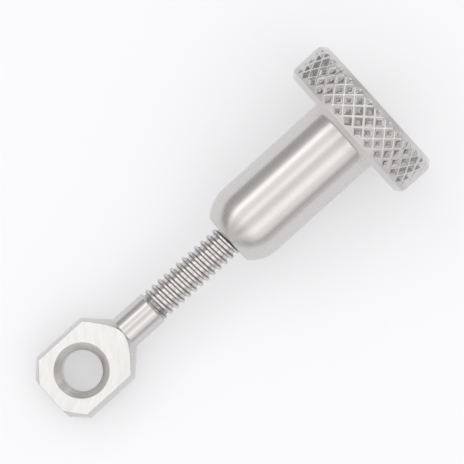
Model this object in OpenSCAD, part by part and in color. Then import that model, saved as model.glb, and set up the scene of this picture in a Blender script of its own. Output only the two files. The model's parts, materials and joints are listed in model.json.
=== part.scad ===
// Swing eye bolt with a knurled thumb nut, lying on a flat surface.
//
// Two turned pieces: an eye bolt, whose flat eye takes a pivot pin, and a thumb nut that
// runs along its thread and clamps with its rounded nose. Both are first laid out along
// +X, with the pivot bore's axis on Z at x = 0 and the flats facing up and down. Then the
// whole is tipped so that the toe of the eye and the rim of the head touch Z = 0.
// Millimetres, +Z up. The origin is under the middle of the object.

/* [Eye] */
// Diameter of the round bar that the eye is milled from
eye_d = 7.94; // [7.2:0.02:10]
// Thickness across the two milled flats
eye_t = 3.68; // [2.4:0.02:5]
// Distance from the pivot bore's axis to the end face
eye_reach = 3.97; // [3.3:0.01:6]
// Distance from the pivot bore's axis to the start of the shoulder cone
eye_shoulder = 3.25; // [3:0.01:6]
// Width of the 45 degree chamfer round the end face
eye_chamfer = 1.5; // [0.4:0.05:2]
// Diameter of the pivot bore
bore_d = 4; // [2:0.05:4.4]
// Width of the 45 degree countersink at each end of the pivot bore
csk_w = 0.72; // [0.2:0.02:0.9]

/* [Shank] */
// Diameter of the plain neck
neck_d = 3.5; // [2.8:0.05:5]
// Length of the plain neck, from the foot of the shoulder cone to the thread relief
neck_l = 3.58; // [1:0.02:12]
// Major diameter of the thread
thread_d = 3.46; // [2.6:0.02:4.4]
// Pitch of the thread
thread_pitch = 0.794; // [0.4:0.001:1]
// Width of the groove between the neck and the thread
relief_w = 0.1; // [0.05:0.05:1]

/* [Thumb nut] */
// Distance from the thread relief to the nut's nose
nut_out = 9.95; // [0.2:0.05:12]
// Diameter of the barrel, which is also the diameter of its rounded nose
barrel_d = 7.94; // [6.4:0.02:10]
// Length of the barrel, from the nose face to the head
barrel_l = 15.05; // [13.2:0.05:30]
// Diameter of the flat face that cuts the nose short
nose_face_d = 5.52; // [5:0.02:6.2]
// Diameter of the head over its knurl
head_d = 15.88; // [13:0.02:24]
// Thickness of the head
head_t = 4.53; // [3.6:0.01:8]
// Width of the 45 degree chamfer round each face of the head
head_chamfer = 0.62; // [0.3:0.01:1]
// Radius left by the tool in the corner between the barrel and the head
corner_r = 0.2; // [0.05:0.01:0.6]
// Metal left between the point of the threaded hole and the head's outer face
cap_t = 1.6; // [1:0.05:4]
// Radial clearance between the thread and the hole
thread_clearance = 0.05; // [0.02:0.01:0.1]
// Room left past the thread's tip when the nut is run right in to the relief
tip_gap = 0.4; // [0.1:0.05:1]

/* [Knurl] */
// Number of pits in one row round the head
knurl_count = 34; // [24:1:44]
// Width of the ridges left between the pits
knurl_ridge = 0.2; // [0.1:0.01:0.4]
// Distance from the near chamfer to the middle of the first row of pits
knurl_inset = 0.52; // [0.4:0.01:0.8]
// Plain land left between the last row of pits and the far chamfer
knurl_land = 0.05; // [0.03:0.01:0.4]

/* [Hidden] */
$fn = 96;

STEEL = "#bdbab6";
DRILL_POINT = 118;  // included angle of a twist drill's point, in degrees
OVER = 0.2;         // how far a cutting shape reaches past the surface it cuts

// Eye
eye_r = eye_d / 2;
eye_h = eye_t / 2;
bore_r = bore_d / 2;
neck_r = neck_d / 2;
end_r = eye_r - eye_chamfer;
cone_end = eye_shoulder + eye_r - neck_r;

// Thread. It is 0.6134 of its pitch deep, and the tapped hole stops short of the cap.
thread_r = thread_d / 2;
thread_depth = 0.6134 * thread_pitch;
root_r = thread_r - thread_depth;
hole_r = thread_r + thread_clearance;
hole_point = hole_r / tan(DRILL_POINT / 2);
hole_depth = barrel_l + head_t - cap_t - hole_point;

// Shank. The relief is as deep as the thread, and the tip fits the hole at full travel.
neck_end = cone_end + neck_l;
thread_start = neck_end + (neck_r - root_r) + relief_w;
thread_full = thread_start + thread_depth;
tip = neck_end + hole_depth - tip_gap;

// Nut
barrel_r = barrel_d / 2;
nose_face_r = nose_face_d / 2;
nose_l = sqrt(pow(barrel_r, 2) - pow(nose_face_r, 2));
head_r = head_d / 2;
nose_x = neck_end + nut_out;
head_x = nose_x + barrel_l;
head_end = head_x + head_t;

// Knurl. Two sets of 45 degree grooves cross, so the rows step by half a pit's spacing.
knurl_spacing = PI * head_d / knurl_count;
row_step = knurl_spacing / 2;
pit_side = knurl_spacing / sqrt(2) - knurl_ridge;
pit_half = pit_side / sqrt(2);
pit_depth = pit_side / 2;
knurl_end = head_t - head_chamfer - knurl_land;
first_row = head_chamfer + knurl_inset;
last_row = floor((knurl_end - first_row + pit_half / 2) / row_step);

// Rest. The toe is the eye's lowest corner, and the rim is the near edge of the knurl.
toe_x = -eye_reach + max(0, eye_h - end_r);
rim_x = head_x + head_chamfer;
tilt = atan((head_r - eye_h) / (rim_x - toe_x));
far_x = head_end * cos(tilt) + (head_r - head_chamfer) * sin(tilt);
near_x = -max(eye_reach * cos(tilt) + min(eye_h, end_r) * sin(tilt),
              -toe_x * cos(tilt) + eye_h * sin(tilt));
lift = head_r * cos(tilt) - rim_x * sin(tilt);

// Tips the laid-out pieces into the pose in which they rest
module at_rest() {
    translate([-(near_x + far_x) / 2, 0, lift])
        rotate([0, -tilt, 0])
            children();
}

// Spins a profile, drawn as radius against distance, round the X axis
module turned() {
    rotate([0, 90, 0])
        rotate_extrude()
            children();
}

// The eye: chamfered bar and shoulder cone, milled flat on both sides
module eye() {
    intersection() {
        turned()
            polygon([
                [0, -eye_reach],
                [end_r, -eye_reach],
                [eye_r, -eye_reach + eye_chamfer],
                [eye_r, eye_shoulder],
                [neck_r, cone_end],
                [0, cone_end]
            ]);
        translate([-eye_reach - OVER, -eye_r - OVER, -eye_h])
            cube([cone_end + eye_reach + 2 * OVER, eye_d + 2 * OVER, eye_t]);
    }
}

// Neck, relief groove and thread, which is drawn as its major cylinder
module shank() {
    turned()
        polygon([
            [0, eye_shoulder],
            [neck_r, eye_shoulder],
            [neck_r, neck_end],
            [root_r, neck_end + neck_r - root_r],
            [root_r, thread_start],
            [thread_r, thread_full],
            [thread_r, tip - thread_depth],
            [root_r, tip],
            [0, tip]
        ]);
}

// Pivot bore with a countersink at both flats
module pivot_bore() {
    translate([0, 0, -eye_h - OVER])
        cylinder(h = eye_t + 2 * OVER, r = bore_r);
    for (side = [0, 1])
        mirror([0, 0, side])
            translate([0, 0, eye_h - csk_w])
                cylinder(h = csk_w + OVER, r1 = bore_r, r2 = bore_r + csk_w + OVER);
}

module eye_bolt() {
    color(STEEL)
        at_rest()
            difference() {
                union() {
                    eye();
                    shank();
                }
                pivot_bore();
            }
}

// Outside of the nut from the nose face at 0: rounded nose, barrel, corner and head
module nut_outline() {
    intersection() {
        translate([0, nose_l])
            circle(r = barrel_r);
        square([barrel_r, nose_l]);
    }
    translate([0, nose_l])
        square([barrel_r, barrel_l - nose_l]);
    translate([0, barrel_l])
        polygon([
            [0, 0],
            [head_r - head_chamfer, 0],
            [head_r, head_chamfer],
            [head_r, head_t - head_chamfer],
            [head_r - head_chamfer, head_t],
            [0, head_t]
        ]);
    difference() {
        translate([barrel_r, barrel_l - corner_r])
            square(corner_r);
        translate([barrel_r + corner_r, barrel_l - corner_r])
            circle(r = corner_r);
    }
}

// Blind hole for the thread, with a lead-in at its mouth and a drill point at its end
module nut_hole() {
    polygon([
        [0, -OVER],
        [hole_r + thread_depth / 2, -OVER],
        [hole_r + thread_depth / 2, 0],
        [hole_r, thread_depth / 2],
        [hole_r, hole_depth],
        [0, hole_depth + hole_point]
    ]);
}

// One pit: a square pyramid, corners along and across the head, point on the inside
module pit() {
    reach = pit_depth + OVER;
    translate([0, 0, head_r - pit_depth])
        cylinder(h = reach, r1 = 0, r2 = pit_half * reach / pit_depth, $fn = 4);
}

// A pit at a distance from the head's near face, cut short where the knurl ends
module pit_at(place) {
    if (place + pit_half < knurl_end)
        translate([place, 0, 0])
            pit();
    else
        intersection() {
            translate([place, 0, 0])
                pit();
            translate([0, -head_r, 0])
                cube([knurl_end, head_d, head_d]);
        }
}

// Rows of pits round the head, every second row turned by half a spacing
module knurl() {
    for (row = [0 : last_row], i = [0 : knurl_count - 1])
        rotate([360 * (i + (row + 1) % 2 / 2) / knurl_count, 0, 0])
            translate([barrel_l, 0, 0])
                pit_at(first_row + row * row_step);
}

module thumb_nut() {
    color(STEEL)
        at_rest()
            translate([nose_x, 0, 0])
                difference() {
                    turned()
                        difference() {
                            nut_outline();
                            nut_hole();
                        }
                    knurl();
                }
}

eye_bolt();
thumb_nut();
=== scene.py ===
"""Looks of a swing eye bolt with a knurled thumb nut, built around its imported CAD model.

Both pieces are rebuilt from their real sizes with what the solids leave out: the
right-hand thread, the turning and milling marks, and the broken edges. Sizes of the
pieces are in millimetres; everything handed to Blender is in metres.
"""

import json
import logging
import math
from dataclasses import dataclass
from enum import Enum

import bpy
import numpy as np
from mathutils import Matrix, Vector

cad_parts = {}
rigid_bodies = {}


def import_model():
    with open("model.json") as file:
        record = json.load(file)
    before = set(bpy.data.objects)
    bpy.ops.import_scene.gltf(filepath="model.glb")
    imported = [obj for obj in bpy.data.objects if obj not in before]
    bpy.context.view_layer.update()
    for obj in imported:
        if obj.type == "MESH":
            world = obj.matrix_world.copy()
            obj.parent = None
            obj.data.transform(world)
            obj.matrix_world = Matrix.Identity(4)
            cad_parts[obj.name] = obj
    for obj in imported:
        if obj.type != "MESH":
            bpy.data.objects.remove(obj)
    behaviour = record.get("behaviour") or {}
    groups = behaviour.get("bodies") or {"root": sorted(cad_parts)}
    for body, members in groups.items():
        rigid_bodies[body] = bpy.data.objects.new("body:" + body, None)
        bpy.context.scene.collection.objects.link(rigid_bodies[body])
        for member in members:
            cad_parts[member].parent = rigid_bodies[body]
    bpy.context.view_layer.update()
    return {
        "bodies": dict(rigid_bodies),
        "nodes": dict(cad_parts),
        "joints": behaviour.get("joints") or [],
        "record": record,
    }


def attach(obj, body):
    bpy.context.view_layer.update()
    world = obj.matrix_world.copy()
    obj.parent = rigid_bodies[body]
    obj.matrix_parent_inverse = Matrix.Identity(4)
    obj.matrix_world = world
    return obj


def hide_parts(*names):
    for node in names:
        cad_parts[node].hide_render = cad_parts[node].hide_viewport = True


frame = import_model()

logging.basicConfig(level=logging.INFO, format="%(levelname)s %(message)s")
log = logging.getLogger("thumb_screw")

MM = 0.001
SENSOR_MM = 36.0
SHARP_DEG = 28.0  # an edge between faces that meet at more than this stays crisp
WELD_MM = 0.0004  # points closer than this become one
FACE_WEIGHT = 80  # above 50, wide faces rule the shading of the narrow ones beside them
PATCH_MM = 3.0  # width of the patches that a tool or handling left duller
ALMOST_MM = 1e-9  # slack for rounding where two sizes are compared
DRILL_DEG = 118.0  # point angle of a usual twist drill
MATT = 0.9  # roughness of the studio's table and wall

# Heights of the marks between which their painted shade runs to painted highlight, and heights plus
# half the patches between which roughness runs from low to high.
PAINTED_SHADING_SPAN = (0.3, 0.7)
ROUGH_SPAN = (0.35, 1.15)


class Marks(Enum):
    """Tool marks: a point on the axis they run round, in mm, and the plane across it."""

    TURNED = ((0.0, 0.0, 0.0), (0.0, 1.0, 1.0))
    BORED = ((0.0, 0.0, 0.0), (1.0, 1.0, 0.0))
    MILLED = ((-9.0, 9.0, 0.0), (1.0, 1.0, 0.0))
    ROLLED = None


@dataclass(frozen=True)
class Finish:
    """How one machined steel surface looks.

    Attributes:
        name: Process and common name of the material.
        colour: Reflected colour at normal incidence, sRGB hex.
        roughness: Mean roughness of the surface.
        marks: Kind of tool marks.
        mark_mm: Distance between marks, in millimetres.
        mark_depth_mm: Height of the marks in the bump, in millimetres.
        roughness_spread: How far roughness strays from its mean over a few marks.
        anisotropy: How much the marks stretch a highlight across themselves.
        streak_deg: How far a mark runs round its axis before it breaks off.
        painted_mark_shading: Share by which a mark's bottom is darkened as painted shade, and its
            top lightened as painted highlight.
    """

    name: str
    colour: str
    roughness: float
    marks: Marks
    mark_mm: float
    mark_depth_mm: float
    roughness_spread: float = 0.06
    anisotropy: float = 0.0
    streak_deg: float = 40.0
    painted_mark_shading: float = 0.08

    def material(self) -> bpy.types.Material:
        """Builds the node material.

        Returns:
            The new material.
        """
        made = bpy.data.materials.new(self.name)
        made.use_nodes = True
        tree = made.node_tree
        tree.nodes.clear()
        place = add_node(tree, "TexCoord").outputs["Object"]
        marks = self._mark_heights(tree, place)
        patches = add_node(
            tree,
            "TexNoise",
            {"Scale": 1 / (PATCH_MM * MM), "Detail": 3.0, "Roughness": 0.6},
            {"Vector": place},
        )
        mixed = add_node(
            tree,
            "Math",
            {"operation": "MULTIPLY_ADD", 1: 0.5},
            {0: patches.outputs["Fac"], 2: marks},
        )
        rough = add_node(
            tree,
            "MapRange",
            {
                "From Min": ROUGH_SPAN[0],
                "From Max": ROUGH_SPAN[1],
                "To Min": self.roughness - self.roughness_spread,
                "To Max": self.roughness + self.roughness_spread,
            },
            {"Value": mixed.outputs[0]},
        )
        bump = add_node(
            tree, "Bump", {"Strength": 1.0, "Distance": self.mark_depth_mm * MM}, {"Height": marks}
        )
        # The marks' bottoms are darkened and their tops lightened in the base colour: painted shade
        # and painted highlight.
        shade = add_node(
            tree,
            "MapRange",
            {
                "From Min": PAINTED_SHADING_SPAN[0],
                "From Max": PAINTED_SHADING_SPAN[1],
                "To Min": 1.0 - self.painted_mark_shading,
                "To Max": 1.0 + self.painted_mark_shading,
                "clamp": False,
            },
            {"Value": marks},
        )
        colour = add_node(
            tree,
            "VectorMath",
            {"operation": "SCALE", 0: linear(self.colour)[:3]},
            {"Scale": shade.outputs["Result"]},
        )
        shader = add_node(
            tree,
            "BsdfPrincipled",
            {
                "Metallic": 1.0,
                "Anisotropic": self.anisotropy,
                "Anisotropic Rotation": 0.25,  # the sheen stretches along the axis
            },
            {
                "Base Color": colour.outputs["Vector"],
                "Roughness": rough.outputs["Result"],
                "Normal": bump.outputs["Normal"],
            },
        )
        if self.marks in (Marks.TURNED, Marks.BORED):
            axis = "X" if self.marks is Marks.TURNED else "Z"
            tangent = add_node(tree, "Tangent", {"direction_type": "RADIAL", "axis": axis})
            tree.links.new(tangent.outputs["Tangent"], shader.inputs["Tangent"])
        add_node(tree, "OutputMaterial", links={"Surface": shader.outputs["BSDF"]})
        return made

    def _mark_heights(
        self, tree: bpy.types.NodeTree, place: bpy.types.NodeSocket
    ) -> bpy.types.NodeSocket:
        """Adds the nodes that give the tool marks as heights from 0 to 1.

        Args:
            tree: Node tree of the material.
            place: Socket with the surface point, in metres, lathe axis on X.

        Returns:
            The socket with the heights.
        """
        if self.marks is Marks.ROLLED:
            return add_node(
                tree,
                "TexNoise",
                {"Scale": 1 / (self.mark_mm * MM), "Detail": 4.0, "Roughness": 0.7},
                {"Vector": place},
            ).outputs["Fac"]
        # Distance along the marks' axis, plus half the distance from it: rings on a
        # barrel, on a cone and on a faced end alike.
        centre, plane = self.marks.value
        away = add_node(
            tree, "VectorMath", {"operation": "SUBTRACT", 1: [c * MM for c in centre]}, {0: place}
        )
        off_axis = add_node(
            tree, "VectorMath", {"operation": "MULTIPLY", 1: plane}, {0: away.outputs["Vector"]}
        )
        height = add_node(
            tree,
            "VectorMath",
            {"operation": "DOT_PRODUCT", 1: [1.0 - p for p in plane]},
            {0: away.outputs["Vector"]},
        )
        far = add_node(tree, "VectorMath", {"operation": "LENGTH"}, {0: off_axis.outputs["Vector"]})
        along = add_node(
            tree,
            "Math",
            {"operation": "MULTIPLY_ADD", 1: 0.5},
            {0: far.outputs["Value"], 2: height.outputs["Value"]},
        )
        heading = add_node(
            tree, "VectorMath", {"operation": "NORMALIZE"}, {0: off_axis.outputs["Vector"]}
        )
        # Marks break off and start again every streak_deg round their axis.
        spot = add_node(
            tree,
            "VectorMath",
            {"operation": "MULTIPLY_ADD", 1: [math.degrees(1) / self.streak_deg] * 3},
            {0: heading.outputs["Vector"]},
        )
        lifted = add_node(tree, "VectorMath", {"operation": "SCALE", 0: [1.0 - p for p in plane]})
        counted = add_node(
            tree,
            "Math",
            {"operation": "MULTIPLY", 1: 1 / (self.mark_mm * MM)},
            {0: along.outputs[0]},
        )
        tree.links.new(counted.outputs[0], lifted.inputs["Scale"])
        tree.links.new(lifted.outputs["Vector"], spot.inputs[2])
        fine = add_node(
            tree,
            "TexNoise",
            {"Scale": 1.0, "Detail": 3.0, "Roughness": 0.65},
            {"Vector": spot.outputs["Vector"]},
        )
        return fine.outputs["Fac"]


def linear(code: str) -> tuple[float, float, float, float]:
    """Turns an sRGB hex colour into linear RGBA.

    Args:
        code: Six hex digits after a hash sign.

    Returns:
        Red, green, blue and an alpha of 1, all from 0 to 1.
    """
    parts = [int(code[i : i + 2], 16) / 255 for i in (1, 3, 5)]
    turned = [p / 12.92 if p <= 0.04045 else ((p + 0.055) / 1.055) ** 2.4 for p in parts]
    return (turned[0], turned[1], turned[2], 1.0)


def add_node(
    tree: bpy.types.NodeTree,
    kind: str,
    settings: dict[str | int, object] | None = None,
    links: dict[str | int, bpy.types.NodeSocket] | None = None,
) -> bpy.types.Node:
    """Adds a node, sets it and links it.

    Args:
        tree: Node tree to add to.
        kind: Blender's name of the node type, less the word ShaderNode.
        settings: Values by attribute name, input name or input number.
        links: Output sockets by the input name or number that they feed.

    Returns:
        The new node.
    """
    node = tree.nodes.new("ShaderNode" + kind)
    for key, value in (settings or {}).items():
        if isinstance(key, str) and key in node.bl_rna.properties:
            setattr(node, key, value)
        else:
            node.inputs[key].default_value = value
    for key, socket in (links or {}).items():
        tree.links.new(socket, node.inputs[key])
    return node


def filleted(
    points: list[tuple[float, float]], radii: dict[int, float], steps: int = 4
) -> np.ndarray:
    """Rounds corners of an open profile.

    Args:
        points: Corners as distance along the axis and radius.
        radii: Fillet radius by corner number; other corners stay sharp.
        steps: Number of chords in each fillet.

    Returns:
        The points of the rounded profile, one per row.
    """
    made: list[np.ndarray] = []
    for i, corner in enumerate(points):
        here = np.array(corner, float)
        if i not in radii:
            made.append(here)
            continue
        back = np.array(points[i - 1], float) - here
        ahead = np.array(points[i + 1], float) - here
        back, ahead = back / np.linalg.norm(back), ahead / np.linalg.norm(ahead)
        half = math.acos(float(np.clip(back @ ahead, -1, 1))) / 2
        inward = (back + ahead) / np.linalg.norm(back + ahead)
        centre = here + inward * radii[i] / math.sin(half)
        reach = radii[i] / math.tan(half)
        start, end = here + back * reach - centre, here + ahead * reach - centre
        turn = math.pi - 2 * half
        for k in range(steps + 1):
            a, b = math.sin(turn * (1 - k / steps)), math.sin(turn * k / steps)
            made.append(centre + (start * a + end * b) / math.sin(turn))
    return np.array(made)


def round_x(
    x: float | np.ndarray, radius: float | np.ndarray, turn: np.ndarray
) -> np.ndarray:
    """Places points round the X axis.

    Args:
        x: Distances along the axis.
        radius: Distances from it.
        turn: Angles from +Y towards +Z.

    Returns:
        The points, with x, y and z last.
    """
    x, radius, turn = np.broadcast_arrays(x, radius, turn)
    return np.stack([x, radius * np.cos(turn), radius * np.sin(turn)], axis=-1)


class Sheet:
    """Gathers the faces of one piece before they become a mesh."""

    def __init__(self) -> None:
        """Starts with nothing in it."""
        self._points: list[np.ndarray] = []
        self._faces: list[tuple[int, ...]] = []
        self._finishes: list[int] = []
        self._count = 0

    def grid(
        self, rows: np.ndarray, finish: int | np.ndarray = 0, closed: bool = False
    ) -> None:
        """Adds a grid of quads, which may shrink to a point or a line anywhere.

        Args:
            rows: Points in millimetres, shaped rows by columns by 3.
            finish: Number of the finish on the piece, or one for each point, which
                goes to the face that starts there.
            closed: Whether the last column joins the first.
        """
        tall, wide = rows.shape[:2]
        finishes = np.broadcast_to(finish, (tall, wide)).tolist()
        start = self._count
        self._points.append(rows.reshape(-1, 3))
        self._count += tall * wide
        for j in range(tall - 1):
            for i in range(wide if closed else wide - 1):
                here = start + j * wide + i
                beside = start + j * wide + (i + 1) % wide
                self._faces.append((here, beside, beside + wide, here + wide))
                self._finishes.append(finishes[j][i])

    def turned(self, profile: np.ndarray, columns: int) -> None:
        """Adds a surface turned round the X axis, in the piece's first finish.

        Args:
            profile: Rows of distance along the axis and radius.
            columns: Number of facets round the axis.
        """
        turn = 2 * math.pi * np.arange(columns) / columns
        self.grid(round_x(profile[:, :1], profile[:, 1:], turn), closed=True)

    def helix(self, rows: np.ndarray, per_turn: int, finish: np.ndarray) -> None:
        """Adds a surface whose rows climb round the X axis like a thread.

        Args:
            rows: Points in millimetres, shaped rows by columns by 3.
            per_turn: How many rows later the last column meets the first.
            finish: Number of the finish on the piece, for each point.
        """
        seam = np.stack([rows[:-per_turn, -1], rows[per_turn:, 0]], axis=1)
        self.grid(rows, finish)
        self.grid(seam, finish[:-per_turn, -1:])

    def piece(self, name: str, sharp_deg: float = SHARP_DEG) -> bpy.types.Object:
        """Makes the object, with doubled points welded and its edges marked.

        Args:
            name: Name of the piece.
            sharp_deg: Angle between faces above which their edge stays crisp.

        Returns:
            The new object, still at the origin.
        """
        mesh = bpy.data.meshes.new(name)
        mesh.from_pydata((np.concatenate(self._points) * MM).tolist(), [], self._faces)
        mesh.polygons.foreach_set("material_index", self._finishes)
        made = bpy.data.objects.new(name, mesh)
        bpy.context.scene.collection.objects.link(made)
        weld = made.modifiers.new("weld", "WELD")
        weld.merge_threshold = WELD_MM * MM
        graph = bpy.context.evaluated_depsgraph_get()
        welded = bpy.data.meshes.new_from_object(made.evaluated_get(graph))
        made.modifiers.clear()
        made.data = welded
        bpy.data.meshes.remove(mesh)
        welded.name = name
        welded.shade_smooth()
        welded.set_sharp_from_angle(angle=math.radians(sharp_deg))
        return made


@dataclass
class Bench:
    """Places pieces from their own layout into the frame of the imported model.

    In that layout X is the turned axis from the eye to the head, Z is the pivot bore's
    axis, and the origin is where the two cross.

    Attributes:
        matrix: From the pieces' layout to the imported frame, in metres.
    """

    matrix: Matrix

    @classmethod
    def from_frame(cls, packed: dict) -> "Bench":
        """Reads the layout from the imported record.


        Returns:
            The bench.
        """
        bore = next(m for m in packed["record"]["mounts"] if m["name"] == "pivot_bore")
        along = Vector(packed["joints"][0]["axis"]).normalized()
        up = Vector(bore["axis"]).normalized()
        across = up.cross(along)
        turn = Matrix((along, across, up)).transposed().to_4x4()
        return cls(Matrix.Translation(Vector(bore["pos_m"])) @ turn)

    def fit(
        self, piece: bpy.types.Object, body: str, finishes: list[Finish]
    ) -> None:
        """Puts a finished piece on its body.

        Args:
            piece: The piece, in its own layout.
            body: Name of the CAD body that carries it.
            finishes: Finishes in the order of the piece's face numbers.
        """
        for finish in finishes:
            piece.data.materials.append(finish_of(finish))
        even = piece.modifiers.new("even normals", "WEIGHTED_NORMAL")
        even.keep_sharp = True
        even.weight = FACE_WEIGHT
        piece.matrix_world = self.matrix
        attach(piece, body)
        log.info("%s: %d faces", piece.name, len(piece.data.polygons))


def finish_of(finish: Finish) -> bpy.types.Material:
    """Gives a finish's material, which is built once.

    Args:
        finish: The finish.

    Returns:
        Its material.
    """
    return bpy.data.materials.get(finish.name) or finish.material()


# Fine turned stainless: a sheen drawn out along the axis, crisp round it.
TURNED = Finish(
    name="fine turned stainless steel",
    colour="#d1cecc",
    roughness=0.27,
    roughness_spread=0.04,
    anisotropy=0.75,
    marks=Marks.TURNED,
    mark_mm=0.16,  # a finishing feed is near 0.05 mm, drawn coarser so that it shows
    mark_depth_mm=0.0012,
    painted_mark_shading=0.02,
)
# End-milled stainless: nearly white under the overhead light, with faint arcs of bumps, roughness
# and painted shade and highlight.
MILLED = Finish(
    name="end-milled stainless steel",
    colour="#dad9d7",
    roughness=0.25,
    marks=Marks.MILLED,
    mark_mm=0.3,  # what the cutter moves on in a few teeth
    mark_depth_mm=0.005,
    streak_deg=12.0,
    painted_mark_shading=0.07,
)
# Drilled and countersunk stainless: fine rings that draw the sheen down the bore.
BORED = Finish(
    name="drilled and countersunk stainless steel",
    colour="#dad7d4",
    roughness=0.25,
    roughness_spread=0.03,
    anisotropy=0.6,
    marks=Marks.BORED,
    mark_mm=0.12,  # a drill's feed for each turn is near this
    mark_depth_mm=0.0008,
)
# Thread cut by a die: a little rougher and warmer than the turned parts.
THREADED = Finish(
    name="die-cut stainless steel thread",
    colour="#d4cfcd",
    roughness=0.28,
    anisotropy=0.2,
    marks=Marks.TURNED,
    mark_mm=0.12,  # the die's own scratches are finer, drawn coarser so that they show
    mark_depth_mm=0.0008,
)
# Flanks that the die tore rather than cut: dark and dull between the crests.
TORN = Finish(
    name="torn flanks of a die-cut stainless steel thread",
    colour="#b0aeae",
    roughness=0.35,
    roughness_spread=0.08,
    marks=Marks.ROLLED,
    mark_mm=0.15,  # tears about half as wide as the thread is deep
    mark_depth_mm=0.006,
)
# Knurl pressed in by wheels: burnished pit walls that each mirror one part of the room.
KNURLED = Finish(
    name="rolled knurl in stainless steel",
    colour="#d0cecd",
    roughness=0.14,
    marks=Marks.ROLLED,
    mark_mm=0.25,  # wider than a wall's 0.17 mm, so that each wall is one even mirror
    mark_depth_mm=0.006,
)
# Floors of the knurl's pits: a darker colour, which is painted shade, gives each pit a dark middle;
# they are a little rougher too.
PAINTED_SHADE_PIT_FLOORS = Finish(
    name="torn pit floors of a rolled knurl in stainless steel",
    colour="#b4b1af",
    roughness=0.2,
    roughness_spread=0.1,
    marks=Marks.ROLLED,
    mark_mm=0.22,  # bumps and painted specks about half as wide as a floor's 0.45 mm
    mark_depth_mm=0.012,
    painted_mark_shading=0.3,
)
# The land beside the knurl, which the wheels rolled down and left dull.
ROLLED_DOWN = Finish(
    name="rolled-down edge of a stainless steel knurl",
    colour="#cecbc9",
    roughness=0.5,
    marks=Marks.TURNED,
    mark_mm=0.2,  # the turned marks, spread by the wheels and drawn coarser to show
    mark_depth_mm=0.003,
)
# Finishes of the pieces that have more than one, in the order of their face numbers.
BLANK = [TURNED, MILLED, BORED]
SCREW = [THREADED, TORN]
RIM = [TURNED, KNURLED, PAINTED_SHADE_PIT_FLOORS, ROLLED_DOWN]


@dataclass(frozen=True)
class Strip:
    """A soft-edged light or grey card that runs the whole length of the object.

    Attributes:
        angle_deg: Where its middle is, from straight up towards -Y.
        half_deg: Half its width without the soft edges.
        edge_deg: Width of each soft edge.
        level: Light it adds, or takes away where negative.
    """

    angle_deg: float
    half_deg: float
    edge_deg: float
    level: float


# The room round the object: an even grey, a wide canopy, a lamp at the canopy's edge
# with a faint glow beyond it, two more lamps, a darker gap between those two, and a low
# lamp towards -Y.
ROOM = (
    Strip(0, 180, 1, 0.5),
    Strip(8, 50, 18, 0.62),
    Strip(-43, 3, 8, 0.66),
    Strip(-56, 3, 12, 0.16),
    Strip(-8, 2, 9, 0.35),
    Strip(35, 6, 8, 0.34),
    Strip(9, 2, 11, -0.14),
    Strip(84, 3, 7, 0.22),
)


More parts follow.
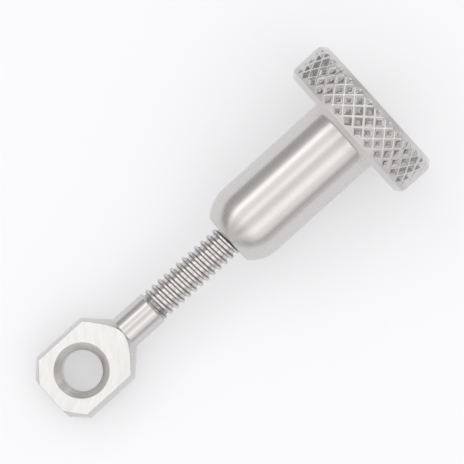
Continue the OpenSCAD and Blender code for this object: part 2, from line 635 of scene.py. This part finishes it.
@dataclass
class EyeBolt:
    """The eye bolt: flat eye with a countersunk pivot bore, neck and threaded shank.

    Attributes:
        eye_r: Radius of the bar that the eye is milled from.
        flat_h: Half the thickness across the flats.
        reach: From the bore's axis to the end face.
        shoulder: From the bore's axis to the start of the shoulder cone.
        chamfer: Width of the chamfer round the end face.
        bore_r: Radius of the pivot bore.
        countersink: Width of the countersinks.
        neck_r: Radius of the neck.
        neck_end: From the bore's axis to the relief groove.
        thread_r: Major radius of the thread.
        pitch: Pitch of the thread.
        depth: Depth of the thread.
        crest_w: Width of the flat that the die left on the thread's crest.
        relief: Width of the relief groove's floor.
        tip: From the bore's axis to the tip.
        crest: A place on the +Y side that a crest of the thread passes.
        flank_deg: Slope of the thread's flanks.
        torn_from: How far in from crest and root the torn part of a flank starts.
        rise: Slope at which the thread comes out of the relief groove.
        rise_from: How far before the end of the groove's floor it starts to rise.
        sunk: How far below the root the thread lies where the blank hides it.
        spare: How far the thread's rows run on past what shows.
        edge: Width of the broken edges.
        foot_r: Fillet between the shoulder cone and the neck.
        arc_steps: Chords across each turned side of the eye.
        outline_points: Points along a flat's cone, side, chamfer and end.
        flat_rings: Rings of points between a flat's outline and its countersink.
        bore_rings: Rings of points down the pivot bore.
        per_turn: Rows of points in one pitch of the thread.
        columns: Points round one turn of the thread.
        crisp_deg: Angle above which an edge of the thread stays crisp.
    """

    eye_r: float = 3.97
    flat_h: float = 1.84
    reach: float = 3.97
    shoulder: float = 3.25
    chamfer: float = 1.5
    bore_r: float = 2.0
    countersink: float = 0.72
    neck_r: float = 1.75
    neck_end: float = 9.05
    thread_r: float = 1.68
    pitch: float = 0.794
    depth: float = 0.33
    crest_w: float = 0.21
    relief: float = 0.02
    tip: float = 25.56
    crest: float = 15.295
    flank_deg: float = 67.0
    torn_from: float = 0.02
    rise: float = 3.0
    rise_from: float = 0.25
    sunk: float = 0.12
    spare: float = 0.05
    edge: float = 0.05
    foot_r: float = 0.06
    arc_steps: int = 48
    outline_points: tuple[int, int, int, int] = (17, 25, 11, 9)
    flat_rings: int = 7
    bore_rings: int = 5
    per_turn: int = 26
    columns: int = 96
    crisp_deg: float = 75.0

    def outline(self) -> np.ndarray:
        """Works out half the outline of a flat, from the shoulder's tip to the end.

        Returns:
            Rows of x, y and the turned radius there, with y from 0 up and back to 0.
        """
        wide = math.sqrt(self.eye_r**2 - self.flat_h**2)
        end_r = self.eye_r - self.chamfer
        narrow = math.sqrt(end_r**2 - self.flat_h**2)
        on_cone, on_side, on_chamfer, on_end = self.outline_points
        rows = []
        for y in np.linspace(0, wide, on_cone):
            radius = math.hypot(y, self.flat_h)
            rows.append((self.shoulder + self.eye_r - radius, y, radius))
        for x in np.linspace(self.shoulder, self.chamfer - self.reach, on_side)[1:]:
            rows.append((x, wide, self.eye_r))
        for y in np.linspace(wide, narrow, on_chamfer)[1:]:
            radius = math.hypot(y, self.flat_h)
            rows.append((radius - end_r - self.reach, y, radius))
        for y in np.linspace(narrow, 0, on_end)[1:]:
            rows.append((-self.reach, y, end_r))
        return np.array(rows)

    def sides(self, sheet: Sheet, outline: np.ndarray) -> None:
        """Adds the turned sides of the eye, the end face and the cone's foot.

        Args:
            sheet: Where the faces go.
            outline: Half the outline of a flat.
        """
        share = np.linspace(-1, 1, self.arc_steps + 1)
        end = int(np.argmax(outline[:, 0] <= ALMOST_MM - self.reach))
        for side in (1, -1):
            rows = []
            for x, _, radius in outline[: end + 1]:
                turn = share * math.asin(min(1.0, self.flat_h / radius))
                rows.append(round_x(x, radius, turn))
            for x, radius in self.neck_profile():
                rows.insert(0, round_x(x, radius, share * math.pi / 2))
            sheet.grid(np.array(rows)[::-side] * (1, side, 1))
        end_r = self.eye_r - self.chamfer
        turn = share * math.asin(self.flat_h / end_r)
        half = np.linspace(-1, 1, 2 * (len(outline) - 1 - end) + 1)
        face = np.empty((len(share), len(half), 3))
        face[..., 0] = -self.reach
        face[..., 1] = np.outer(end_r * np.cos(turn), half)
        face[..., 2] = (end_r * np.sin(turn))[:, None]
        sheet.grid(face[::-1])

    def neck_profile(self) -> np.ndarray:
        """Works out the profile from the cone's foot to the relief groove's floor.

        Returns:
            Rows of distance along the axis and radius.
        """
        root = self.thread_r - self.depth
        foot = self.shoulder + self.eye_r - self.neck_r
        groove = self.neck_end + self.neck_r - root
        # The first point only gives the cone's slope. Rings in from both ends of the
        # neck keep the fillets' shading beside them, and the last stretch is hidden.
        after_foot = foot + 1.0
        before_groove = self.neck_end - 0.6
        hidden_end = groove + self.relief + 0.5
        return filleted(
            [
                (self.shoulder + self.eye_r - self.flat_h, self.flat_h),
                (foot, self.neck_r),
                (after_foot, self.neck_r),
                (before_groove, self.neck_r),
                (self.neck_end, self.neck_r),
                (groove, root),
                (hidden_end, root),
            ],
            {1: self.foot_r, 4: self.edge, 5: self.edge},
        )[1:]

    def flats(self, sheet: Sheet, outline: np.ndarray) -> None:
        """Adds both milled flats, with the countersinks and the bore between them.

        Args:
            sheet: Where the faces go.
            outline: Half the outline of a flat.
        """
        across = outline[1:-1][::-1] * (1, -1, 1)
        ring = np.concatenate([outline, across])[:, :2]
        away = ring / np.linalg.norm(ring, axis=1)[:, None]
        mouth = self.bore_r + self.countersink
        land = self.flat_h - self.countersink
        milled = BLANK.index(MILLED)
        bored = BLANK.index(BORED)
        for side in (1, -1):
            rows = [
                self._level(away * mouth + (ring - away * mouth) * share, self.flat_h)
                for share in np.linspace(1, 0, self.flat_rings)
            ]
            sheet.grid(np.array(rows)[::side] * (1, 1, side), milled, closed=True)
            sink = [
                self._level(away * (self.bore_r + w), land + w)
                for w in (self.countersink, self.countersink / 2, 0)
            ]
            sheet.grid(np.array(sink)[::side] * (1, 1, side), bored, closed=True)
        heights = np.linspace(land, -land, self.bore_rings)
        wall = [self._level(away * self.bore_r, z) for z in heights]
        sheet.grid(np.array(wall), bored, closed=True)

    @staticmethod
    def _level(ring: np.ndarray, height: float) -> np.ndarray:
        """Lifts a flat ring of points to a height."""
        return np.column_stack([ring, np.full(len(ring), height)])

    def thread(self, sheet: Sheet) -> None:
        """Adds the right-hand thread, from inside the relief's floor to the tip.

        Args:
            sheet: Where the faces go.
        """
        root = self.thread_r - self.depth
        floor_end = self.neck_end + self.neck_r - root + self.relief
        start = floor_end - self.pitch - self.spare
        turns = (self.tip + root + 2 * self.spare - start) / self.pitch
        step = np.arange(int(math.ceil(turns * self.per_turn)))[:, None] / self.per_turn
        share = np.arange(self.columns)[None, :] / self.columns
        along = start + self.pitch * (step + share)
        # Distance from the middle of the groove, in pitches.
        aside = ((along - self.crest) / self.pitch - share) % 1 - 0.5
        flank = (0.5 - np.abs(aside)) * self.pitch - self.crest_w / 2
        cut = np.clip(flank * math.tan(math.radians(self.flank_deg)), 0, self.depth)
        rise = root + self.rise * (along - floor_end + self.rise_from)
        point = root + (self.tip - along)
        radius = np.minimum(self.thread_r - cut, np.minimum(rise, np.maximum(point, 0)))
        radius = np.maximum(radius, np.where(along < self.tip, root - self.sunk, 0.0))
        rows = round_x(np.minimum(along, self.tip), radius, 2 * math.pi * share)
        torn = (cut > self.torn_from) & (cut < self.depth - self.torn_from)
        finish = np.where(torn, SCREW.index(TORN), SCREW.index(THREADED))
        sheet.helix(rows, self.per_turn, finish)

    def build(self, bench: Bench) -> None:
        """Makes the bolt's pieces and puts them on their body.

        Args:
            bench: Where the pieces go.
        """
        outline = self.outline()
        blank = Sheet()
        self.sides(blank, outline)
        self.flats(blank, outline)
        body = blank.piece("eye_bolt_blank")
        edges = body.modifiers.new("broken edges", "BEVEL")
        edges.width = self.edge * MM
        edges.segments = 2
        edges.limit_method = "ANGLE"
        edges.angle_limit = math.radians(SHARP_DEG)
        edges.use_clamp_overlap = False
        edges.harden_normals = True
        bench.fit(body, "bolt", BLANK)
        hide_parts("eye_bolt")
        screw = Sheet()
        self.thread(screw)
        made = screw.piece("eye_bolt_thread", self.crisp_deg)
        bench.fit(made, "bolt", SCREW)


@dataclass
class ThumbNut:
    """The thumb nut: rounded nose, long barrel and a knurled head.

    Attributes:
        nose: From the bolt's pivot bore to the nose face.
        barrel_r: Radius of the barrel and of the rounded nose.
        barrel_l: From the nose face to the head.
        face_r: Radius of the nose's flat face.
        head_r: Radius over the knurl.
        head_t: Thickness of the head.
        chamfer: Width of the head's chamfers.
        corner: Fillet between the barrel and the head.
        hole_r: Radius of the tapped hole.
        hole_l: Depth of the tapped hole to its drill point.
        lead_in: Width of the chamfer at the hole's mouth.
        pits: Number of knurl pits in a row round the head.
        rows: Number of whole rows of pits; one more runs out on the far chamfer.
        pit_share: Share of the knurl's spacing that a pit takes up.
        rim_deg: Slope of a pit's walls at its rim.
        middle_deg: Slope of a pit's walls at its middle.
        ridge_r: How softly the walls turn over onto the ridges.
        runout_deg: Slope of the pits in the row that runs out.
        turned_deg: How far the nut is turned on its thread.
        first_row: From the head's near face to the middles of the first row of pits.
        wall_from: Depth at which a pit's burnished walls start.
        floor_from: Depth at which a pit's floor starts, which is darkened as painted shade.
        rolled_deg: Slope of the land that the knurl rolled down beside the near chamfer.
        band: From the head's near face to where the knurl's surface starts and ends.
        edge: Radius of the broken edges.
        nose_edge: Width that is broken off the rim of the nose's flat face.
        ball_from: Angle from that rim to where the rounded nose starts, in radians.
        ball_points: Points along the rounded nose.
        fillet_steps: Chords in each fillet.
        columns: Facets round the turned surfaces.
        half_steps: Steps of the knurl's mesh across half a pit's spacing.
    """

    nose: float = 19.0
    barrel_r: float = 3.97
    barrel_l: float = 15.05
    face_r: float = 2.76
    head_r: float = 7.94
    head_t: float = 4.53
    chamfer: float = 0.62
    corner: float = 0.2
    hole_r: float = 1.78
    hole_l: float = 16.91
    lead_in: float = 0.243
    pits: int = 34
    rows: int = 4
    pit_share: float = 0.84
    rim_deg: float = 46.0
    middle_deg: float = 17.0
    ridge_r: float = 0.05
    runout_deg: float = 24.0
    turned_deg: float = -2.6
    first_row: float = 1.14
    wall_from: float = 0.04
    floor_from: float = 0.18
    rolled_deg: float = 9.0
    band: tuple[float, float] = (0.3, 4.23)
    edge: float = 0.06
    nose_edge: float = 0.05
    ball_from: float = 0.012
    ball_points: int = 17
    fillet_steps: int = 6
    columns: int = 170
    half_steps: int = 13

    def profiles(self) -> tuple[np.ndarray, np.ndarray]:
        """Works out the turned profiles on each side of the knurl.

        Returns:
            From the drill point out to the near chamfer, and from the far chamfer's
            edge to the middle of the outer face.
        """
        nose_l = math.sqrt(self.barrel_r**2 - self.face_r**2)
        hole = [
            (self.hole_l + self.hole_r / math.tan(math.radians(DRILL_DEG / 2)), 0.0),
            (self.hole_l, self.hole_r),
            (self.lead_in, self.hole_r),
            (0.0, self.hole_r + self.lead_in),
            (0.0, self.face_r - self.nose_edge),
        ]
        first = math.asin(self.face_r / self.barrel_r)
        ball = [
            (nose_l - self.barrel_r * math.cos(a), self.barrel_r * math.sin(a))
            for a in np.linspace(first + self.ball_from, math.pi / 2, self.ball_points)
        ]
        face = self.barrel_l
        rim_r = self.head_r - self.chamfer
        # Extra rings this far from an edge keep its shading beside it.
        gap = 0.4
        face_gap = 0.3
        body = [
            *hole,
            *ball,
            (nose_l + gap, self.barrel_r),
            (face - self.corner - gap, self.barrel_r),
            (face, self.barrel_r),
            (face, self.barrel_r + self.corner + face_gap),
            (face, rim_r - face_gap),
            (face, rim_r),
            (face + self.band[0], rim_r + self.band[0]),
        ]
        corner = body.index((face, self.barrel_r))
        radii = {corner: self.corner, len(body) - 2: self.edge}
        near = filleted(body, radii, self.fillet_steps)
        end = face + self.head_t
        far = filleted(
            [
                (face + self.band[1], rim_r + end - face - self.band[1]),
                (end, rim_r),
                (end, rim_r - gap),
                (end, 0.0),
            ],
            {1: self.edge},
            self.fillet_steps,
        )
        return near, far

    def knurl(self) -> np.ndarray:
        """Works out the knurled band as rows of points round the head.

        Returns:
            Points shaped rows by columns by 3, in the nut's own layout.
        """
        # The pits' folds fall on whole steps, so that they stay crisp.
        step = math.pi * self.head_r / self.pits / self.half_steps
        before = step * int((self.first_row - self.band[0]) / step)
        inner = np.arange(self.first_row - before, self.band[1], step)
        columns = 2 * self.half_steps * self.pits
        turn = 2 * math.pi * np.arange(columns) / columns
        angle = turn + math.radians(self.turned_deg)
        far = self.head_t - self.chamfer
        made = []
        for x in [self.band[0], *inner[1:], self.band[1]]:
            over = max(0.0, self.rolled_depth(x), self.chamfer - x, x - far)
            depth = np.full(columns, over)
            if self.band[0] < x < self.band[1]:
                depth = np.maximum(over, self.pit_depths(x, turn))
            made.append(round_x(self.barrel_l + x, self.head_r - depth, angle))
        # The pits are counted from straight up, so Y and Z change places.
        return np.array(made)[::-1][..., [0, 2, 1]]

    def rolled_depth(self, x: float | np.ndarray) -> float | np.ndarray:
        """Works out how far the land beside the near chamfer is rolled down.

        Args:
            x: Distance from the head's near face.

        Returns:
            Depth there, which is 0 from the middles of the first row of pits on.
        """
        slope = math.tan(math.radians(self.rolled_deg))
        return np.maximum(0, self.first_row - x) * slope

    def pit_depths(self, x: float, turn: np.ndarray) -> np.ndarray:
        """Works out how deep the knurl is cut at one station.

        Args:
            x: Distance from the head's near face.
            turn: Angles round the axis, from the seam.

        Returns:
            Depth at each angle.
        """
        half = math.pi * self.head_r / self.pits
        size = self.pit_share * half
        steep, flat = (math.tan(math.radians(a)) for a in (self.rim_deg, self.middle_deg))
        easing = (steep - flat) / (math.sqrt(2) * size)
        runout = math.tan(math.radians(self.runout_deg))
        across = turn * self.head_r
        depth = np.zeros_like(turn)
        for row in range(self.rows + 1):
            dx = x - self.first_row - row * half
            dy = np.abs((across - half * ((row + 1) % 2) + half) % (2 * half) - half)
            inside = (size - abs(dx) - dy) / math.sqrt(2)
            soft = (inside + np.sqrt(inside**2 + self.ridge_r**2)) / 2
            soft = (steep - easing * soft) * soft
            if row == self.rows:
                soft = np.minimum(soft, max(0.0, size + dx) * runout)
            depth = np.maximum(depth, soft)
        return depth

    def knurl_finish(self, band: np.ndarray) -> np.ndarray:
        """Chooses the finish of each face of the knurled band from its depth.

        Args:
            band: Points of the band, in the nut's own layout.

        Returns:
            Number of the finish in RIM for the face that starts at each point.
        """
        middles = (band + np.roll(band, -1, 1) + np.roll(band, -1, 0)) / 3
        x = middles[..., 0] - self.barrel_l
        rolled = self.rolled_depth(x)
        depth = self.head_r - np.hypot(middles[..., 1], middles[..., 2])
        chamfered = (self.chamfer - x > rolled) | (x > self.head_t - self.chamfer)
        choices = [
            (chamfered, TURNED),
            # Pit floors get a darker colour, which is painted shade.
            (depth > self.floor_from, PAINTED_SHADE_PIT_FLOORS),
            (depth > self.wall_from + rolled, KNURLED),
            (x < self.first_row, ROLLED_DOWN),
        ]
        return np.select(
            [where for where, _ in choices],
            [RIM.index(finish) for _, finish in choices],
            RIM.index(TURNED),
        )

    def build(self, bench: Bench) -> None:
        """Makes the nut's pieces and puts them on their body.

        Args:
            bench: Where the pieces go.
        """
        near, far = self.profiles()
        body = Sheet()
        shift = np.array([self.nose, 0.0])
        body.turned(near + shift, self.columns)
        body.turned(far + shift, self.columns)
        made = body.piece("thumb_nut_blank")
        bench.fit(made, "nut", [TURNED])
        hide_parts("thumb_nut")
        rim = Sheet()
        band = self.knurl()
        rim.grid(band + (self.nose, 0.0, 0.0), self.knurl_finish(band), closed=True)
        made = rim.piece("thumb_nut_knurl")
        bench.fit(made, "nut", RIM)


@dataclass
class Studio:
    """Plain pale table, soft light from above and the camera.

    Attributes:
        table_r: Radius of the table top, in metres.
        wall_h: Height of the pale wall round it, in metres.
        facets: Number of sides of the table top and of the wall.
        table_colour: Colour of the table top, sRGB hex.
        table_light: Colour of the light that comes up through it, sRGB hex.
        table_glow: How much light comes up through it.
        wall_light: Colour of the light that comes through the wall, sRGB hex.
        bright_end: Where the room is brightest, as the X of a unit direction.
        full_to: How far from there the light keeps its full level.
        dim_from: How far from there it has fallen to end_level.
        end_level: Share of the light that is left towards either end.
        distance: From the camera to the object, in metres.
        view_mm: Width of the view at the object, in millimetres.
        turn_deg: How far the object's axis is turned from the image's horizontal.
        lean_deg: How far the camera leans from square to the flats, towards -Y.
        end_lean_deg: How far it leans from there towards the head.
        aim: Point of the pieces' layout in the middle of the image, in millimetres.
        clip: Nearest and furthest that the camera sees, in metres.
    """

    table_r: float = 1.5
    wall_h: float = 1.2
    facets: int = 96
    table_colour: str = "#d2d2d4"
    table_light: str = "#fefeff"
    table_glow: float = 0.34
    wall_light: str = "#fafafc"
    bright_end: float = -0.15
    full_to: float = 0.26
    dim_from: float = 0.68
    end_level: float = 0.62
    distance: float = 0.55
    view_mm: float = 44.92
    turn_deg: float = 42.1
    lean_deg: float = 2.6
    end_lean_deg: float = 1.7
    aim: tuple[float, float, float] = (19.71, 0.28, 0.0)
    clip: tuple[float, float] = (0.05, 10.0)

    def circle(self, height: float) -> np.ndarray:
        """Works out the points of the table's rim, or of the wall above it.

        Args:
            height: Height over the table, in metres.

        Returns:
            The points in metres, one per row.
        """
        turn = 2 * math.pi * np.arange(self.facets) / self.facets
        ring = np.column_stack([np.cos(turn), np.sin(turn)]) * self.table_r
        return np.column_stack([ring, np.full(self.facets, height)])

    @staticmethod
    def prop(
        name: str,
        points: np.ndarray,
        faces: list[tuple[int, ...]],
        finish: str,
        glow: tuple[str, str, float],
    ) -> bpy.types.Object:
        """Makes a matt, glowing part of the studio.

        Args:
            name: Name of the object.
            points: Its points in metres, one per row.
            faces: Point numbers of each face.
            finish: Process and common name of its material.
            glow: Its own colour, the colour of its light, and how much light.

        Returns:
            The new object.
        """
        mesh = bpy.data.meshes.new(name)
        mesh.from_pydata(points.tolist(), [], faces)
        made = bpy.data.objects.new(name, mesh)
        bpy.context.scene.collection.objects.link(made)
        paint = bpy.data.materials.new(finish)
        paint.use_nodes = True
        colour, light, strength = glow
        values = {
            "Base Color": linear(colour),
            "Roughness": MATT,
            "Specular IOR Level": 0.0,
            "Emission Color": linear(light),
            "Emission Strength": strength,
        }
        for key, value in values.items():
            paint.node_tree.nodes["Principled BSDF"].inputs[key].default_value = value
        mesh.materials.append(paint)
        return made

    def table(self) -> None:
        """Lays the table top under the object."""
        faces = [tuple(range(self.facets))]
        glow = (self.table_colour, self.table_light, self.table_glow)
        self.prop("table", self.circle(0.0), faces, "opal acrylic table top", glow)

    def wall(self) -> None:
        """Stands a pale wall round the table, which the metal doesn't mirror."""
        count = self.facets
        beside = [(i, (i + 1) % count) for i in range(count)]
        faces = [(i, k, k + count, i + count) for i, k in beside]
        points = np.vstack([self.circle(0.0), self.circle(self.wall_h)])
        glow = ("#000000", self.wall_light, 1.0)
        made = self.prop("wall", points, faces, "back-lit paper wall", glow)
        for ray in ("diffuse", "glossy", "shadow", "transmission", "volume_scatter"):
            setattr(made, "visible_" + ray, False)

    def light(self) -> None:
        """Sets the light round the object: bright above, grey low on either side."""
        world = bpy.data.worlds.new("soft room")
        bpy.context.scene.world = world
        world.use_nodes = True
        tree = world.node_tree
        tree.nodes.clear()
        heading = add_node(tree, "TexCoord").outputs["Generated"]
        axes = add_node(tree, "SeparateXYZ", links={"Vector": heading}).outputs
        over = add_node(tree, "Math", {"operation": "MULTIPLY", 1: -1.0}, {0: axes["Y"]})
        side = add_node(tree, "Math", {"operation": "ARCTAN2"}, {0: over.outputs[0], 1: axes["Z"]})
        total = None
        for strip in ROOM:
            total = self._strip(tree, side.outputs[0], strip, total)
        # The room is brightest over the object and dimmer towards either end of it.
        reach = self._distance(tree, axes["X"], self.bright_end)
        ends = add_node(
            tree,
            "MapRange",
            {
                "interpolation_type": "SMOOTHSTEP",
                "From Min": self.dim_from,
                "From Max": self.full_to,
                "To Min": self.end_level,
                "To Max": 1.0,
            },
            {"Value": reach},
        )
        back = add_node(
            tree, "Background", links={"Color": total, "Strength": ends.outputs["Result"]}
        )
        add_node(tree, "OutputWorld", links={"Surface": back.outputs["Background"]})

    def _strip(
        self,
        tree: bpy.types.NodeTree,
        side: bpy.types.NodeSocket,
        strip: Strip,
        before: bpy.types.NodeSocket | None,
    ) -> bpy.types.NodeSocket:
        """Adds the nodes of one strip to the light before it.

        Args:
            tree: Node tree of the world.
            side: Socket with the angle from straight up towards -Y, in radians.
            strip: The strip.
            before: Socket with the light of the strips before it.

        Returns:
            The socket with the sum.
        """
        level = add_node(
            tree,
            "MapRange",
            {
                "interpolation_type": "SMOOTHSTEP",
                "From Min": math.radians(strip.half_deg + strip.edge_deg),
                "From Max": math.radians(strip.half_deg),
                "To Min": 0.0,
                "To Max": strip.level,
            },
            {"Value": self._distance(tree, side, math.radians(strip.angle_deg))},
        )
        if before is None:
            return level.outputs["Result"]
        summed = add_node(
            tree, "Math", {"operation": "ADD"}, {0: level.outputs["Result"], 1: before}
        )
        return summed.outputs["Value"]

    @staticmethod
    def _distance(
        tree: bpy.types.NodeTree, value: bpy.types.NodeSocket, centre: float
    ) -> bpy.types.NodeSocket:
        """Adds the nodes for how far a value is from a centre.

        Args:
            tree: Node tree of the world.
            value: Socket with the value.
            centre: The centre.

        Returns:
            The socket with the distance.
        """
        gap = add_node(tree, "Math", {"operation": "SUBTRACT", 1: centre}, {0: value})
        size = add_node(tree, "Math", {"operation": "ABSOLUTE"}, {0: gap.outputs[0]})
        return size.outputs[0]

    def camera(self, bench: Bench) -> None:
        """Places the camera square to the flats, but for its lean.

        Args:
            bench: Gives the object's axes.
        """
        turn = bench.matrix.to_3x3()
        along, across, up = turn.col[0], turn.col[1], turn.col[2]
        lean = math.tan(math.radians(self.lean_deg))
        end_lean = math.tan(math.radians(self.end_lean_deg))
        back = (up - across * lean + along * end_lean).normalized()
        along = (along - back * back.dot(along)).normalized()
        side = back.cross(along)
        roll = math.radians(self.turn_deg)
        right = along * math.cos(roll) - side * math.sin(roll)
        top = along * math.sin(roll) + side * math.cos(roll)
        seat = bench.matrix @ (Vector(self.aim) * MM) + back * self.distance
        lens = bpy.data.cameras.new("camera")
        lens.sensor_width = SENSOR_MM
        lens.lens = SENSOR_MM * self.distance / (self.view_mm * MM)
        lens.clip_start = self.clip[0]
        lens.clip_end = self.clip[1]
        made = bpy.data.objects.new("camera", lens)
        bpy.context.scene.collection.objects.link(made)
        made.matrix_world = (
            Matrix.Translation(seat) @ Matrix((right, top, back)).transposed().to_4x4()
        )
        bpy.context.scene.camera = made

    def build(self, bench: Bench) -> None:
        """Sets up everything round the object.

        Args:
            bench: Gives the object's axes.
        """
        self.table()
        self.wall()
        self.light()
        self.camera(bench)
        bpy.context.scene.view_settings.view_transform = "Standard"
        log.info("studio ready")


def main() -> None:
    """Builds the pieces and the studio."""
    bench = Bench.from_frame(frame)
    EyeBolt().build(bench)
    ThumbNut().build(bench)
    Studio().build(bench)
    bpy.context.view_layer.update()


if __name__ == "__main__":
    main()
